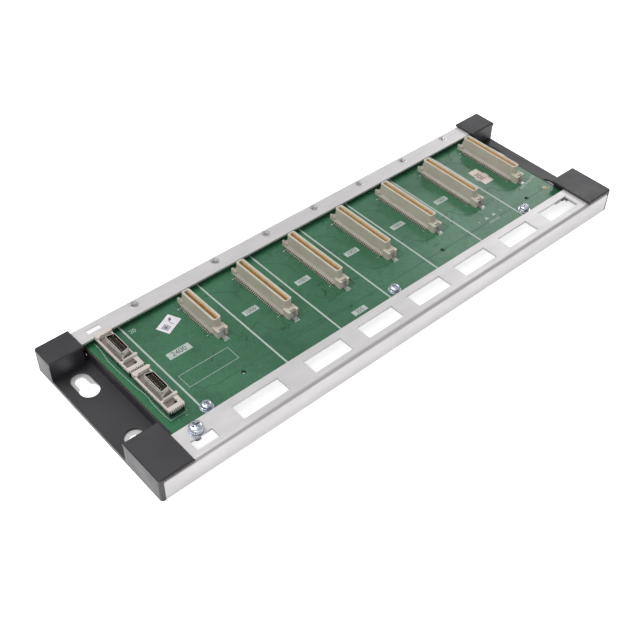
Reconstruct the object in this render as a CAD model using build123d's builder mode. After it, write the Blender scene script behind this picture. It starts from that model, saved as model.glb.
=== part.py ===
import os

from build123d import *

# Backplane of a rack controller: a folded sheet chassis, two moulded end brackets and a
# circuit board that carries one power connector, six module connectors and two cable ports.
# Millimetres. X runs along the rack, Y towards the edge with the module screws, Z up.
# The origin lies on the mounting surface, under the middle of the footprint.

os.makedirs("parts", exist_ok=True)

# Module bays, measured from the left end; they and the margin past the last one set the length
slot_count = 6
slot_pitch = 35.5
first_slot_line = 91.0
last_bay_margin = 16.5

# Footprint and levels
base_length = first_slot_line + slot_count * slot_pitch + last_bay_margin
base_depth = 105.5
flange_top = 12.7
board_top = 9.0
board_thickness = 1.6
board_bottom = board_top - board_thickness
left_end = -base_length / 2
near_edge = -base_depth / 2
far_edge = base_depth / 2
fit_gap = 0.3
thread_gap = 0.05

# Sides of the prisms that stand for small round pieces and the holes they go through
fastener_sides = 12
insert_sides = 8
boss_sides = 10
recess_sides = 28

# Sheet chassis
sheet = 1.2
bend_radius = 2.0
near_flange = 19.4
far_flange = 11.5
window_height = 9.6
window_near = 5.3
slot_window_width = 24.4
slot_window_start = 3.95
power_window_width = 27.6
power_window_left = 50.95
ground_window_width = 12.4
ground_window_height = 6.0
ground_window_corner = (24.1, 4.6)
cable_window_width = 7.8
cable_window_height = 3.0
cable_window_left = 26.3
cable_window_from_far = 7.6
foot_width = 17.5

# Mounting holes in the two feet, measured from each end and from the near edge
mount_from_end = 10.9
mount_near = 37.1
mount_from_far = 21.9
mount_far = base_depth - mount_from_far
mount_hole_radius = 2.9
key_slide = 8.3
key_entry_near = mount_far - key_slide
key_entry_radius = 5.4

# Moulded end brackets
cap_top = 14.7
cap_width = 19.4
cap_wall = 2.4
cap_near_length = 28.5
cap_far_length = 14.7
cap_inner_wall = 1.5
cap_lip = 0.5
cap_edge_chamfer = 0.6
cap_corner_round = 1.6
plate_top = 2.4
plate_recess_radius = 5.1
board_stop = 0.8
board_stop_height = 6.5

# Circuit board, measured from both ends and from the near and far edges. The first hole is
# measured from the left end, each of the others from the slot line of its bay
board_left = 22.4
board_right_margin = 17.3
board_far_margin = 2.7
board_hole_radius = 1.2
board_hole_from_near = 30.8
power_board_hole = 70.7
board_hole_bays = (3, 5)
board_holes_past_line = (13.1, 13.7)
plated_hole_from_end = 22.0
plated_hole_radius = 0.8
left_stop_from_end = board_left - fit_gap - board_stop
right_stop_from_end = board_right_margin - fit_gap - board_stop

# Board screws, and the tabs and ledges that carry the board. The first screw is measured
# from the left end, each of the others from the slot line of its bay
power_screw = 43.8
screw_bays = (2, 5)
screws_past_line = (5.4, 4.2)
screw_from_near = 24.7
screw_radius = 1.5
screw_hole_radius = 1.8
screw_head_radius = 2.8
screw_head_height = 2.0
lock_washer_radius = 2.75
lock_washer_height = 0.7
lock_washer_bore = 1.8
flat_washer_radius = 3.5
flat_washer_height = 0.5
screw_reach = 5.2
tab_width = 8.0
tab_reach = 10.4
tab_set_back = 0.6
ledge_count = 4
ledge_margin = 48.0
ledge_width = 14.0
ledge_reach = 6.0
ledge_wall_height = 3.0

# Ground terminal on the near flange, measured from the left end and the near edge
ground_position = (30.0, 13.7)
ground_radius = 2.0
ground_head_radius = 3.6
ground_head_height = 2.7
ground_lock_radius = 3.5
ground_lock_height = 1.1
ground_flat_radius = 4.0
ground_flat_height = 0.8
ground_washer_bore = 2.3
ground_reach = 7.2

# Cross recess and edge of every screw head, as shares of the head radius and height
head_side_share = 0.55
recess_reach_share = 0.62
recess_width_share = 0.2
recess_depth_share = 0.55

# Threaded inserts for the module screws
insert_radius = 2.4
insert_bore = 1.25
insert_length = 3.2
insert_from_far = 4.4
power_insert_position = 55.4
insert_from_slot_line = 16.15

# Module connectors, measured from the slot line and the near edge
contact_pitch = 1.27
slot_contacts = 30
power_contacts = 20
connector_from_line = 22.8
power_connector_position = 78.3
connector_from_far = 17.1
connector_far_end = base_depth - connector_from_far
connector_top = 18.2
body_width = 4.9
body_end_margin = 3.6
body_corner = 0.8
mouth_width = 2.0
mouth_end_wall = 0.9
mouth_bevel = 0.35
shoulder_width = 7.4
shoulder_top = 11.1
shoulder_edge = 10.2
stand_off = 0.5
ear_width = 6.6
near_ear_length = 4.2
near_ear_top = 13.4
far_ear_length = 3.4
far_ear_top = 11.8
ear_corner = 0.5
ear_notch_width = 3.4
ear_notch_depth = 1.6
contact_width = 0.5
contact_thickness = 0.25
contact_top = 17.2
contact_foot_reach = 4.4
clip_width = 2.8
clip_thickness = 0.4
clip_foot = 1.1
clip_below_ear = 0.8
clip_lip = 0.9

# Cable ports; the last one stands a fit gap away from the far flange
port_position = 31.2
port_count = 2
port_spacing = 2.3
port_contacts = 10
port_width = 9.0
port_length = 30.6
port_base_inset = 0.3
port_frame_bottom = 12.6
port_floor = 13.0
port_frame_top = 14.0
port_bar_top = 15.0
port_rim = 0.8
port_pocket_width = 6.0
port_pocket_near = -13.1
port_pocket_far = -8.9
port_channel_near = -7.6
port_channel_far = 12.6
port_hole_place = (1.8, -11.5)
port_hole_radius = 0.8
near_bar_place = -8.25
near_bar_width = 1.2
near_bar_start = -2.6
far_bar_place = 14.0
far_bar_width = 2.4
port_boss_place = 4.4
port_boss_radius = 0.9
port_bump_place = (-3.2, 12.8)
rib_count = 8
rib_pitch = 1.0
rib_width = 0.5
rib_depth = 0.8
shell_offset = 0.2
shell_width = 5.0
shell_long = 15.0
shell_short = 12.7
shell_wall = 0.4
shell_top = 19.0
shell_corner = 0.6
core_width = 2.1
core_length = 12.2
core_top = 18.2
core_contact_top = 17.8

# Adhesive labels, centre measured from the left end or the last slot line and from the far edge
label_thickness = 0.1
check_label_size = (12.0, 7.9)
check_label_position = 62.5
check_label_from_far = 24.1
check_label_turn = 24.8
lot_label_size = (7.2, 14.4)
lot_label_from_line = 9.1
lot_label_from_far = 43.0

# Places that several pieces share, in the frame of the model
flange_bottom = flange_top - sheet
wall_inside = base_depth / 2 - sheet
chassis_left = left_end + cap_wall
chassis_length = base_length - 2 * cap_wall
near_flange_edge = near_edge + near_flange
far_flange_edge = far_edge - far_flange
insert_y = far_edge - insert_from_far
screw_y = near_edge + screw_from_near
tab_bottom = board_bottom - sheet


def along(from_left):
    """Model X of a distance measured from the left end."""
    return left_end + from_left


def across(from_near):
    """Model Y of a distance measured from the near edge."""
    return near_edge + from_near


slot_lines = [along(first_slot_line + slot_pitch * slot) for slot in range(slot_count)]
connector_centres = [line + connector_from_line for line in slot_lines]
power_centre = along(power_connector_position)
insert_places = [(along(power_insert_position), insert_y)]
insert_places += [(line + insert_from_slot_line, insert_y) for line in slot_lines]
screw_places = [(along(power_screw), screw_y)]
screw_places += [
    (slot_lines[bay] + past_line, screw_y)
    for bay, past_line in zip(screw_bays, screws_past_line)
]
ground_place = (along(ground_position[0]), across(ground_position[1]))
port_pitch = port_length + port_spacing
last_port = far_flange_edge - fit_gap - port_length / 2
port_centres = [last_port - port_pitch * (port_count - 1 - port) for port in range(port_count)]


def save(name, piece):
    """Name a finished piece after its node and write it."""
    piece.part.label = name
    export_step(piece.part, f"parts/{name}.step")


def save_copy(name, template, x, y=0, z=0):
    """Place a copy of a finished piece and write it under its own name."""
    with BuildPart() as copy:
        with Locations((x, y, z)):
            add(template)
    save(name, copy)


# Chassis: one folded sheet with two flanges, two walls and a foot at each end
with BuildPart() as chassis:
    with BuildSketch(Plane.YZ.offset(chassis_left)) as section:
        Rectangle(base_depth, flange_top, align=(Align.CENTER, Align.MIN))
        fillet(section.vertices().group_by(Axis.Y)[-1], radius=bend_radius)
        with BuildSketch(mode=Mode.PRIVATE) as hollow:
            Rectangle(2 * wall_inside, flange_bottom, align=(Align.CENTER, Align.MIN))
            fillet(hollow.vertices().group_by(Axis.Y)[-1], radius=bend_radius - sheet)
        add(hollow.sketch, mode=Mode.SUBTRACT)
        with Locations((near_flange_edge, flange_bottom)):
            Rectangle(
                far_flange_edge - near_flange_edge,
                sheet,
                align=Align.MIN,
                mode=Mode.SUBTRACT,
            )
    extrude(amount=chassis_length)

    # The feet, with a round hole and a keyhole each
    with BuildSketch() as feet:
        with Locations((chassis_left, 0)):
            Rectangle(foot_width, base_depth, align=(Align.MIN, Align.CENTER))
        hole_x = left_end + mount_from_end
        with Locations((hole_x, across(mount_near)), (hole_x, across(mount_far))):
            Circle(mount_hole_radius, mode=Mode.SUBTRACT)
        with Locations((hole_x, across(mount_far))):
            Rectangle(
                2 * mount_hole_radius,
                key_slide,
                align=(Align.CENTER, Align.MAX),
                mode=Mode.SUBTRACT,
            )
        with Locations((hole_x, across(key_entry_near))):
            Circle(key_entry_radius, mode=Mode.SUBTRACT)
        mirror(about=Plane.YZ)
    extrude(amount=sheet)

    # Tabs folded down from the near flange, one under each board screw
    tab_face = near_flange_edge - tab_set_back
    tab_planes = [Plane.YZ.offset(place[0] - tab_width / 2) for place in screw_places]
    with BuildSketch(*tab_planes) as tab:
        with BuildLine():
            Polyline(
                (tab_face - sheet, flange_bottom),
                (tab_face - sheet, tab_bottom),
                (tab_face + tab_reach, tab_bottom),
                (tab_face + tab_reach, board_bottom),
                (tab_face, board_bottom),
                (tab_face, flange_bottom),
                close=True,
            )
        make_face()
        chamfer(tab.vertices().sort_by_distance((tab_face - sheet, tab_bottom))[0], sheet)
    extrude(amount=tab_width)
    with BuildSketch(Plane.XY.offset(tab_bottom)):
        with Locations(*screw_places):
            RegularPolygon(screw_radius + thread_gap, fastener_sides)
    extrude(amount=sheet, mode=Mode.SUBTRACT)

    # Ledges lanced from the far wall; each leaves a notch that is open below
    ledge_top = board_bottom + ledge_wall_height
    ledge_step = (base_length - 2 * ledge_margin) / (ledge_count - 1)
    ledge_planes = [
        Plane.YZ.offset(along(ledge_margin + ledge_step * ledge) - ledge_width / 2)
        for ledge in range(ledge_count)
    ]
    with BuildSketch(*ledge_planes):
        with Locations((wall_inside, 0)):
            Rectangle(sheet, ledge_top, align=Align.MIN)
    extrude(amount=ledge_width, mode=Mode.SUBTRACT)
    with BuildSketch(*ledge_planes) as ledge:
        with BuildLine():
            Polyline(
                (wall_inside - ledge_reach, tab_bottom),
                (far_edge, tab_bottom),
                (far_edge, ledge_top),
                (wall_inside, ledge_top),
                (wall_inside, board_bottom),
                (wall_inside - ledge_reach, board_bottom),
                close=True,
            )
        make_face()
        chamfer(ledge.vertices().sort_by_distance((far_edge, tab_bottom))[0], sheet)
    extrude(amount=ledge_width)

    # Windows for the module hooks, the small cable windows, and the screw holes
    with BuildSketch(Plane.XY.offset(flange_bottom)) as openings:
        with Locations((along(power_window_left), across(window_near))):
            Rectangle(power_window_width, window_height, align=Align.MIN)
        for line in slot_lines:
            with Locations((line + slot_window_start, across(window_near))):
                Rectangle(slot_window_width, window_height, align=Align.MIN)
        with Locations((along(ground_window_corner[0]), across(ground_window_corner[1]))):
            Rectangle(ground_window_width, ground_window_height, align=Align.MIN)
        with Locations((along(cable_window_left), far_edge - cable_window_from_far)):
            Rectangle(cable_window_width, cable_window_height, align=Align.MIN)
        with Locations(ground_place):
            RegularPolygon(ground_radius + thread_gap, fastener_sides)
        with Locations(*insert_places):
            RegularPolygon(insert_radius + thread_gap, insert_sides)
    extrude(amount=sheet, mode=Mode.SUBTRACT)
save("chassis", chassis)


# End brackets: a floor plate over the foot and a capped block over each corner
def end_bracket(stop_from_end):
    """Bracket of the left end; its board stop stands at the given distance from the end."""
    stop_face = stop_from_end + board_stop
    side_face = min(cap_width - cap_lip, stop_face)
    blocks = (
        (near_edge, cap_near_length, 1, near_flange + fit_gap),
        (far_edge, cap_far_length, -1, far_flange + fit_gap),
    )
    with BuildPart() as bracket:
        # A block over each corner, hollow below the level of the flanges
        for edge, block_length, inward, flange_reach in blocks:
            side = Align.MIN if inward > 0 else Align.MAX
            with BuildSketch() as outline:
                with Locations((left_end, edge)):
                    Rectangle(cap_width, block_length, align=(Align.MIN, side))
                corner = outline.vertices().sort_by_distance((left_end, edge))[0]
                fillet(corner, radius=cap_corner_round)
            extrude(amount=cap_top)
            wall_face = edge + inward * (block_length - cap_lip)
            with BuildSketch():
                with Locations((left_end + cap_wall, edge)):
                    Rectangle(cap_width, flange_reach, align=(Align.MIN, side))
                    Rectangle(
                        side_face - cap_wall - cap_inner_wall,
                        block_length - cap_lip - cap_inner_wall,
                        align=(Align.MIN, side),
                    )
                with Locations((left_end, wall_face)):
                    Rectangle(cap_width, cap_lip, align=(Align.MIN, side))
                with Locations((left_end + side_face, edge)):
                    Rectangle(cap_width, block_length, align=(Align.MIN, side))
            extrude(amount=flange_top, mode=Mode.SUBTRACT)
        with BuildSketch():
            with Locations((left_end + cap_wall, 0)):
                Rectangle(cap_width, base_depth, align=(Align.MIN, Align.CENTER))
        extrude(amount=sheet, mode=Mode.SUBTRACT)
        top_edges = bracket.faces().filter_by(Plane.XY).group_by(Axis.Z)[-1].edges()
        chamfer(top_edges, length=cap_edge_chamfer)

        # The outer edge strip between the blocks
        with BuildSketch():
            with Locations((left_end, near_edge + cap_near_length - cap_lip)):
                Rectangle(
                    cap_wall,
                    base_depth - cap_near_length - cap_far_length + 2 * cap_lip,
                    align=Align.MIN,
                )
        extrude(amount=plate_top)

        # The floor plate with an opening round each mounting hole, and the board stop on it
        with BuildSketch(Plane.XY.offset(sheet)):
            with Locations((left_end + cap_wall, 0)):
                Rectangle(
                    stop_face - cap_wall,
                    2 * (wall_inside - fit_gap),
                    align=(Align.MIN, Align.CENTER),
                )
            hole_x = left_end + mount_from_end
            recess_places = [(hole_x, across(y)) for y in (mount_near, key_entry_near, mount_far)]
            with Locations(*recess_places):
                RegularPolygon(plate_recess_radius, recess_sides, mode=Mode.SUBTRACT)
            with Locations((hole_x, across(key_entry_near + key_slide / 2))):
                Rectangle(2 * plate_recess_radius, key_slide, mode=Mode.SUBTRACT)
        extrude(amount=plate_top - sheet)
        with BuildSketch(Plane.XY.offset(plate_top)):
            with Locations((left_end + stop_from_end, near_flange_edge + fit_gap)):
                Rectangle(
                    board_stop,
                    far_flange_edge - near_flange_edge - 2 * fit_gap,
                    align=Align.MIN,
                )
        extrude(amount=board_stop_height)
    return bracket.part


with BuildPart() as bracket_left:
    add(end_bracket(left_stop_from_end))
save("end_bracket_left", bracket_left)

with BuildPart() as bracket_right:
    add(end_bracket(right_stop_from_end).mirror(Plane.YZ))
save("end_bracket_right", bracket_right)


# Circuit board
with BuildPart() as board:
    board_near = near_flange + fit_gap
    with BuildSketch(Plane.XY.offset(board_bottom)):
        with Locations((along(board_left), across(board_near))):
            Rectangle(
                base_length - board_left - board_right_margin,
                base_depth - board_near - board_far_margin,
                align=Align.MIN,
            )
        with Locations(*screw_places):
            RegularPolygon(screw_hole_radius, fastener_sides, mode=Mode.SUBTRACT)
        hole_y = across(board_hole_from_near)
        with Locations((along(power_board_hole), hole_y)):
            RegularPolygon(board_hole_radius, fastener_sides, mode=Mode.SUBTRACT)
        for bay, past_line in zip(board_hole_bays, board_holes_past_line):
            with Locations((slot_lines[bay] + past_line, hole_y)):
                RegularPolygon(board_hole_radius, fastener_sides, mode=Mode.SUBTRACT)
        with Locations((along(base_length - plated_hole_from_end), hole_y)):
            RegularPolygon(plated_hole_radius, fastener_sides, mode=Mode.SUBTRACT)
    extrude(amount=board_thickness)
save("circuit_board", board)


# Module connectors, drawn with their long axis at X = 0
def connector_length(contact_count):
    """Length of the raised body over one row of contacts."""
    return (contact_count - 1) * contact_pitch + body_end_margin


def connector_housing(contact_count):
    """Housing with a raised body, a sloping shoulder and an ear at each end."""
    length = connector_length(contact_count)
    far_y = across(connector_far_end)
    near_y = far_y - length
    body_bottom = board_top + stand_off
    with BuildPart() as housing:
        with BuildSketch(Plane.XZ.offset(-far_y)):
            with BuildLine():
                Polyline(
                    (-shoulder_width / 2, body_bottom),
                    (shoulder_width / 2, body_bottom),
                    (shoulder_width / 2, shoulder_edge),
                    (body_width / 2, shoulder_top),
                    (-body_width / 2, shoulder_top),
                    (-shoulder_width / 2, shoulder_edge),
                    close=True,
                )
            make_face()
        extrude(amount=length)
        with BuildSketch(Plane.XY.offset(body_bottom)) as body:
            with Locations((0, far_y)):
                Rectangle(body_width, length, align=(Align.CENTER, Align.MAX))
            chamfer(body.vertices(), length=body_corner)
        extrude(amount=connector_top - body_bottom)

        # Ears that stand on the board, with a notch for the board clip in each
        ears = (
            (near_y, near_ear_length, -1, near_ear_top),
            (far_y, far_ear_length, 1, far_ear_top),
        )
        for end_y, ear_length, outward, ear_top in ears:
            side = Align.MIN if outward > 0 else Align.MAX
            root = end_y - outward * body_corner
            tip = end_y + outward * ear_length
            with BuildSketch(Plane.XY.offset(board_top)) as ear:
                with Locations((0, root)):
                    Rectangle(ear_width, ear_length + body_corner, align=(Align.CENTER, side))
                corners = ear.vertices().sort_by(Axis.Y, reverse=outward > 0)[:2]
                chamfer(corners, length=ear_corner)
                with Locations((0, tip)):
                    Rectangle(
                        ear_notch_width,
                        2 * ear_notch_depth,
                        mode=Mode.SUBTRACT,
                    )
            extrude(amount=ear_top - board_top)

        # The mouth for the edge of a module board
        with BuildSketch(Plane.XY.offset(connector_top)) as mouth:
            with Locations((0, (far_y + near_y) / 2)):
                Rectangle(mouth_width, length - 2 * mouth_end_wall)
        extrude(amount=board_top - connector_top, mode=Mode.SUBTRACT)
        rim = housing.faces().filter_by(Plane.XY).group_by(Axis.Z)[-1]
        chamfer(rim.face().inner_wires().edges(), length=mouth_bevel)
    return housing.part


def contact_rows(contact_count):
    """Two rows of separate contacts: a tapered foot on the board, a blade up the mouth wall."""
    last_y = across(connector_far_end) - body_end_margin / 2 + contact_width / 2
    steps = [last_y - contact_pitch * contact for contact in range(contact_count)]
    wall = mouth_width / 2
    with BuildPart() as rows:
        with BuildSketch(*[Plane.XZ.offset(-step) for step in steps]):
            with BuildLine():
                Polyline(
                    (-contact_foot_reach, board_top),
                    (-wall + contact_thickness, board_top),
                    (-wall + contact_thickness, contact_top),
                    (-wall, contact_top),
                    (-wall, board_top + contact_thickness),
                    close=True,
                )
            make_face()
            mirror(about=Plane.YZ)
        extrude(amount=contact_width)
    return rows.part


def connector_clips(contact_count):
    """Two sheet clips, one against the notch of each ear, with a foot on the board."""
    far_y = across(connector_far_end)
    near_y = far_y - connector_length(contact_count)
    ends = (
        (near_y - near_ear_length, -1, near_ear_top - clip_below_ear),
        (far_y + far_ear_length, 1, far_ear_top - clip_below_ear),
    )
    with BuildPart() as clips:
        for tip, outward, top in ends:
            wall = tip - outward * ear_notch_depth
            face = wall + outward * clip_thickness
            with BuildSketch(Plane.YZ.offset(-clip_width / 2)):
                with BuildLine():
                    Polyline(
                        (wall, board_top),
                        (wall, top),
                        (wall + outward * clip_lip, top),
                        (wall + outward * clip_lip, top - clip_thickness),
                        (face, top - clip_thickness),
                        (face, board_top + clip_thickness),
                        (tip + outward * clip_foot, board_top + clip_thickness),
                        (tip + outward * clip_foot, board_top),
                        close=True,
                    )
                make_face()
            extrude(amount=clip_width)
    return clips.part


connector_sets = [("power_connector", power_centre, power_contacts)]
connector_sets += [
    (f"slot_connector_{slot}", centre, slot_contacts)
    for slot, centre in enumerate(connector_centres)
]
for contact_count in (power_contacts, slot_contacts):
    housing_template = connector_housing(contact_count)
    contact_template = contact_rows(contact_count)
    clip_template = connector_clips(contact_count)
    for name, centre, count in connector_sets:
        if count == contact_count:
            save_copy(f"{name}_housing", housing_template, centre)
            save_copy(f"{name}_contacts", contact_template, centre)
            save_copy(f"{name}_clips", clip_template, centre)


# Cable ports, drawn with the middle of the body at X = 0, Y = 0
with BuildPart() as port_base:
    with BuildSketch(Plane.XY.offset(board_top)):
        Rectangle(port_width - 2 * port_base_inset, port_length - 2 * port_base_inset)
    extrude(amount=port_frame_bottom - board_top)
    with BuildSketch(Plane.XY.offset(port_frame_bottom)):
        with Locations((shell_offset, 0)):
            Rectangle(core_width, core_length)
    extrude(amount=core_top - port_frame_bottom)
    slot_width = contact_thickness + thread_gap
    with BuildSketch(Plane.XY.offset(board_top)):
        for flank in (-1, 1):
            with Locations((shell_offset + flank * (core_width + slot_width) / 2, 0)):
                Rectangle(slot_width, core_length)
    extrude(amount=port_frame_bottom - board_top, mode=Mode.SUBTRACT)

with BuildPart() as port_contact_rows:
    with BuildSketch(Plane.XY.offset(board_top)):
        for flank in (-1, 1):
            with Locations((shell_offset + flank * (core_width + contact_thickness) / 2, 0)):
                with GridLocations(0, contact_pitch, 1, port_contacts):
                    Rectangle(contact_thickness, contact_width)
    extrude(amount=core_contact_top - board_top)

with BuildPart() as port_frame:
    with BuildSketch(Plane.XY.offset(port_frame_bottom)):
        Rectangle(port_width, port_length)
    extrude(amount=port_frame_top - port_frame_bottom)

    # The recess behind the shell, and the deep pocket at the near end
    with BuildSketch(Plane.XY.offset(port_floor)):
        with Locations((0, port_channel_near)):
            Rectangle(
                port_width - 2 * port_rim,
                port_channel_far - port_channel_near,
                align=(Align.CENTER, Align.MIN),
            )
        with Locations((-port_width / 2 + port_rim, port_pocket_near)):
            Rectangle(port_pocket_width, port_pocket_far - port_pocket_near, align=Align.MIN)
    extrude(amount=port_frame_top - port_floor, mode=Mode.SUBTRACT)
    with BuildSketch(Plane.XY.offset(port_frame_bottom)):
        with Locations((shell_offset, 0)):
            Rectangle(core_width + 2 * (slot_width + fit_gap), core_length + 2 * fit_gap)
        with Locations(port_hole_place):
            RegularPolygon(port_hole_radius, boss_sides)
    extrude(amount=port_frame_top - port_frame_bottom, mode=Mode.SUBTRACT)

    # A bar at each end of the shell, each with a boss beyond the side of the frame
    with BuildSketch(Plane.XY.offset(port_floor)):
        with Locations((near_bar_start, near_bar_place)):
            Rectangle(
                port_boss_place - near_bar_start,
                near_bar_width,
                align=(Align.MIN, Align.CENTER),
            )
        with Locations((-port_width / 2, far_bar_place)):
            Rectangle(
                port_boss_place + port_width / 2,
                far_bar_width,
                align=(Align.MIN, Align.CENTER),
            )
        with Locations(
            (port_boss_place, near_bar_place),
            (port_boss_place, far_bar_place),
            port_bump_place,
        ):
            RegularPolygon(port_boss_radius, boss_sides)
    extrude(amount=port_bar_top - port_floor)

    # The comb along the near end
    with BuildSketch(Plane.XY.offset(port_frame_bottom)):
        with Locations((0, -port_length / 2 - rib_depth / 2)):
            with GridLocations(rib_pitch, 0, rib_count, 1):
                Rectangle(rib_width, rib_depth)
    extrude(amount=port_frame_top - port_frame_bottom)

with BuildPart() as port_shell:
    with BuildSketch(Plane.XY.offset(port_floor)) as shell_outline:
        with Locations((shell_offset, 0)):
            with BuildLine():
                Polyline(
                    (-shell_width / 2, -shell_long / 2),
                    (shell_width / 2, -shell_short / 2),
                    (shell_width / 2, shell_short / 2),
                    (-shell_width / 2, shell_long / 2),
                    close=True,
                )
            make_face()
        chamfer(shell_outline.vertices(), length=shell_corner)
        offset(amount=-shell_wall, kind=Kind.INTERSECTION, mode=Mode.SUBTRACT)
    extrude(amount=shell_top - port_floor)

for port, centre in enumerate(port_centres):
    place = (along(port_position), centre)
    save_copy(f"cable_port_{port}_base", port_base.part, *place)
    save_copy(f"cable_port_{port}_frame", port_frame.part, *place)
    save_copy(f"cable_port_{port}_shell", port_shell.part, *place)
    save_copy(f"cable_port_{port}_contacts", port_contact_rows.part, *place)


# Screws and washers, drawn with the face they bear on at Z = 0
def pan_screw(radius, head_radius, head_height, reach):
    """Pan-head screw with a cross recess."""
    side_height = head_height * head_side_share
    recess_reach = head_radius * recess_reach_share
    recess_width = head_radius * recess_width_share
    with BuildPart() as screw:
        with BuildSketch(Plane.XY.offset(-reach)):
            RegularPolygon(radius, fastener_sides)
        extrude(amount=reach)
        with BuildSketch():
            RegularPolygon(head_radius, fastener_sides)
        extrude(amount=head_height)
        crown = screw.faces().sort_by(Axis.Z)[-1].edges()
        chamfer(crown, length=head_height - side_height, length2=head_radius - recess_reach)
        with BuildSketch(Plane.XY.offset(head_height)):
            Rectangle(2 * recess_reach, recess_width)
            Rectangle(recess_width, 2 * recess_reach)
        extrude(amount=-head_height * recess_depth_share, mode=Mode.SUBTRACT)
    return screw.part


def washer(outer_radius, bore_radius, height):
    """Flat ring."""
    with BuildPart() as ring:
        with BuildSketch():
            RegularPolygon(outer_radius, fastener_sides)
            RegularPolygon(bore_radius, fastener_sides, mode=Mode.SUBTRACT)
        extrude(amount=height)
    return ring.part


def save_group(name, template, places, level):
    """Write one node with a copy of the piece at each place."""
    with BuildPart() as group:
        for x, y in places:
            with Locations((x, y, level)):
                add(template)
    save(name, group)


screw_template = pan_screw(screw_radius, screw_head_radius, screw_head_height, screw_reach)
lock_template = washer(lock_washer_radius, lock_washer_bore, lock_washer_height)
flat_template = washer(flat_washer_radius, lock_washer_bore, flat_washer_height)
lock_level = board_top + flat_washer_height
head_level = lock_level + lock_washer_height
save_group("board_screw_flat_washers", flat_template, screw_places, board_top)
save_group("board_screw_lock_washers", lock_template, screw_places, lock_level)
save_group("board_screws", screw_template, screw_places, head_level)

ground_template = pan_screw(ground_radius, ground_head_radius, ground_head_height, ground_reach)
ground_lock = washer(ground_lock_radius, ground_washer_bore, ground_lock_height)
ground_flat = washer(ground_flat_radius, ground_washer_bore, ground_flat_height)
ground_lock_level = flange_top + ground_flat_height
ground_head_level = ground_lock_level + ground_lock_height
save_group("ground_flat_washer", ground_flat, [ground_place], flange_top)
save_group("ground_lock_washer", ground_lock, [ground_place], ground_lock_level)
save_group("ground_screw", ground_template, [ground_place], ground_head_level)


# Threaded inserts pressed into the far flange, flush with its top
with BuildPart() as insert:
    with BuildSketch():
        RegularPolygon(insert_radius, insert_sides)
        Circle(insert_bore, mode=Mode.SUBTRACT)
    extrude(amount=-insert_length)
save_group("module_screw_inserts", insert.part, insert_places, flange_top)


# Adhesive labels on the board
with BuildPart() as check_label:
    with BuildSketch(Plane.XY.offset(board_top)):
        with Locations((along(check_label_position), far_edge - check_label_from_far)):
            Rectangle(*check_label_size, rotation=check_label_turn)
    extrude(amount=label_thickness)
save("check_label", check_label)

with BuildPart() as lot_label:
    with BuildSketch(Plane.XY.offset(board_top)):
        with Locations((slot_lines[-1] + lot_label_from_line, far_edge - lot_label_from_far)):
            Rectangle(*lot_label_size)
    extrude(amount=label_thickness)
save("lot_label", lot_label)
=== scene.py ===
import math
import random

import bmesh
import bpy
from mathutils import Matrix, Vector

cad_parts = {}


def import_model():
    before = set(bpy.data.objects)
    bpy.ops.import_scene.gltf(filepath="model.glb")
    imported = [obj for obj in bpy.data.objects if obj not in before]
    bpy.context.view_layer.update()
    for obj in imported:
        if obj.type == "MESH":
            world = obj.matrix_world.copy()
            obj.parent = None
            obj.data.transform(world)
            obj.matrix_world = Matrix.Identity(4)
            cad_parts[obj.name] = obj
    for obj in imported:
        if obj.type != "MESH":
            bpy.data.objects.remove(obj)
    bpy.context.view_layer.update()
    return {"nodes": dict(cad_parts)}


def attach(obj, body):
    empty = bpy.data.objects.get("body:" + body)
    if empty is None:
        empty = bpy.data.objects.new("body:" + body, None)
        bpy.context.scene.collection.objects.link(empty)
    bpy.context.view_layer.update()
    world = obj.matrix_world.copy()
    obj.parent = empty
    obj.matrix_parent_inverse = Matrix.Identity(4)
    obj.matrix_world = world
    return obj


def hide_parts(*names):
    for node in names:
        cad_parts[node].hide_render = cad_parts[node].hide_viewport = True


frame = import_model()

MM = 0.001
LENGTH, DEPTH = 320.5, 105.5
BOARD_TOP = 9.0
SLOT_COUNT = 6
FIRST_SLOT_LINE = 91.0
SLOT_PITCH = 35.5
SLOT_LINES = [FIRST_SLOT_LINE + SLOT_PITCH * slot for slot in range(SLOT_COUNT)]
POWER_CONNECTOR = (78.3, 20)
CONNECTOR_FROM_LINE = 22.8
SLOT_CONTACTS = 30
CONNECTORS = [POWER_CONNECTOR]
CONNECTORS += [(line + CONNECTOR_FROM_LINE, SLOT_CONTACTS) for line in SLOT_LINES]
CONNECTOR_FAR = 88.4
PITCH = 1.27
FIRST_CONTACT = 1.8
PORTS = [45.5, 78.4]
PORT_X = 31.2
SHELL_OFFSET = 0.2
nodes = frame["nodes"]
rng = random.Random(7)


def place(x, y, z=0.0):
    """Metres in the model frame, from millimetres measured from the left end and near edge."""
    return Vector(((x - LENGTH / 2) * MM, (y - DEPTH / 2) * MM, z * MM))


# Materials
def new_material(name):
    mat = bpy.data.materials.new(name)
    mat.use_nodes = True
    tree = mat.node_tree
    shader = tree.nodes["Principled BSDF"]
    return mat, tree, shader


def mix_color(tree, factor, a, b):
    node = tree.nodes.new("ShaderNodeMix")
    node.data_type = "RGBA"
    for socket, value in (("A", a), ("B", b)):
        target = [s for s in node.inputs if s.name == socket and s.type == "RGBA"][0]
        if isinstance(value, bpy.types.NodeSocket):
            tree.links.new(value, target)
        else:
            target.default_value = (*value, 1.0)
    tree.links.new(factor, node.inputs["Factor"])
    return [s for s in node.outputs if s.type == "RGBA"][0]


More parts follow.
